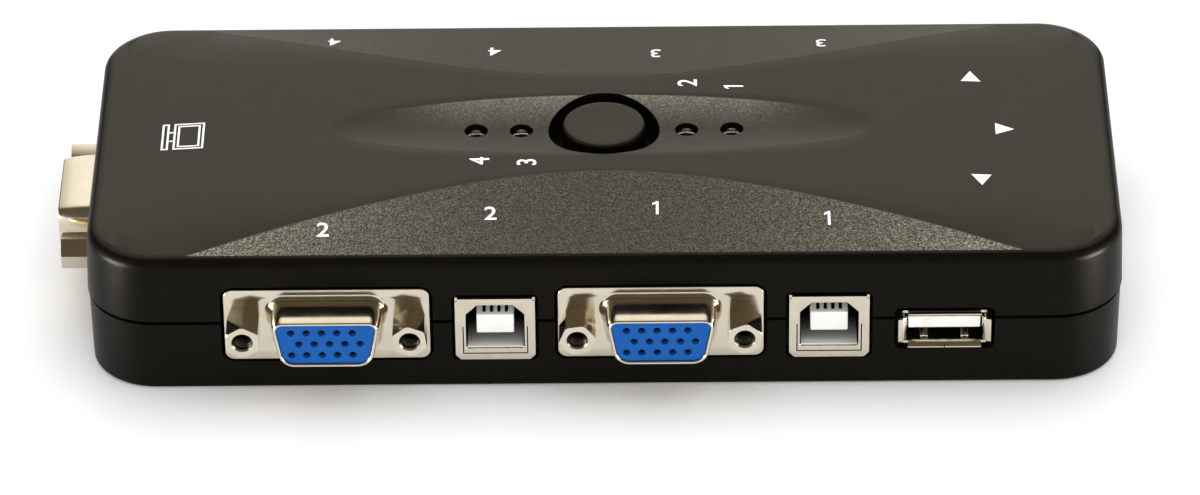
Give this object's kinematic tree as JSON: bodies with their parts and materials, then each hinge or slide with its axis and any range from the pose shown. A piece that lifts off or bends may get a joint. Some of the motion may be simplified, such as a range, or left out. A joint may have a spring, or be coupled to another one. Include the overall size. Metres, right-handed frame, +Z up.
{
  "type": "kvm switch",
  "caption": "Low desktop switch box with an arched top, a push button, indicator lamps and video and data sockets round its sides, for sharing a screen and keyboard between computers.",
  "frame": {"origin": "centre of the case outline on its underside, where it rests on the desk", "axes": "+X along the front from the left end to the right end, +Y from the front to the rear, +Z up"},
  "size_m": [0.1614, 0.0768, 0.0257],
  "materials": {
    "case_plastic": "fine satin moulding, textured panels on the top",
    "button_plastic": "satin",
    "nickel": "bright nickel plate, slightly warm",
    "blue_plastic": "moulded",
    "white_plastic": "moulded",
    "board": "solder resist",
    "chip": "moulded",
    "steel": "bright",
    "lens": "clear, polished"
  },
  "bodies": {
    "case": {"top_cover": "case_plastic", "bottom_cover": "case_plastic", "main_board": "board", "case_screw_1": "steel", "case_screw_2": "steel", "case_screw_3": "steel", "case_screw_4": "steel", "video_1_shell": "nickel", "video_1_insert": "blue_plastic", "video_1_jack_left": "nickel", "video_1_jack_right": "nickel", "video_2_shell": "nickel", "video_2_insert": "blue_plastic", "video_2_jack_left": "nickel", "video_2_jack_right": "nickel", "video_3_shell": "nickel", "video_3_insert": "blue_plastic", "video_3_jack_left": "nickel", "video_3_jack_right": "nickel", "video_4_shell": "nickel", "video_4_insert": "blue_plastic", "video_4_jack_left": "nickel", "video_4_jack_right": "nickel", "console_video_shell": "nickel", "console_video_insert": "blue_plastic", "console_video_jack_left": "nickel", "console_video_jack_right": "nickel", "data_1_shell": "nickel", "data_1_body": "white_plastic", "data_2_shell": "nickel", "data_2_body": "white_plastic", "data_3_shell": "nickel", "data_3_body": "white_plastic", "data_4_shell": "nickel", "data_4_body": "white_plastic", "console_data_front_shell": "nickel", "console_data_front_body": "white_plastic", "console_data_rear_shell": "nickel", "console_data_rear_body": "white_plastic", "console_data_side_shell": "nickel", "console_data_side_body": "white_plastic", "switch_base": "chip", "switch_plate": "steel", "switch_dome": "steel", "lamp_1": "lens", "lamp_2": "lens", "lamp_3": "lens", "lamp_4": "lens", "control_chip": "chip", "video_chip": "chip", "data_chip": "chip", "crystal": "steel", "supply_capacitor": "chip"},
    "button": {"button_cap": "button_plastic", "switch_plunger": "white_plastic"}
  },
  "joints": [
    {"name": "button_press", "type": "slide", "parent": "case", "child": "button", "axis": [0, 0, -1], "range_m": [0, 0.0005], "stiffness_N_per_m": 4000, "deforming": ["switch_dome"]}
  ]
}
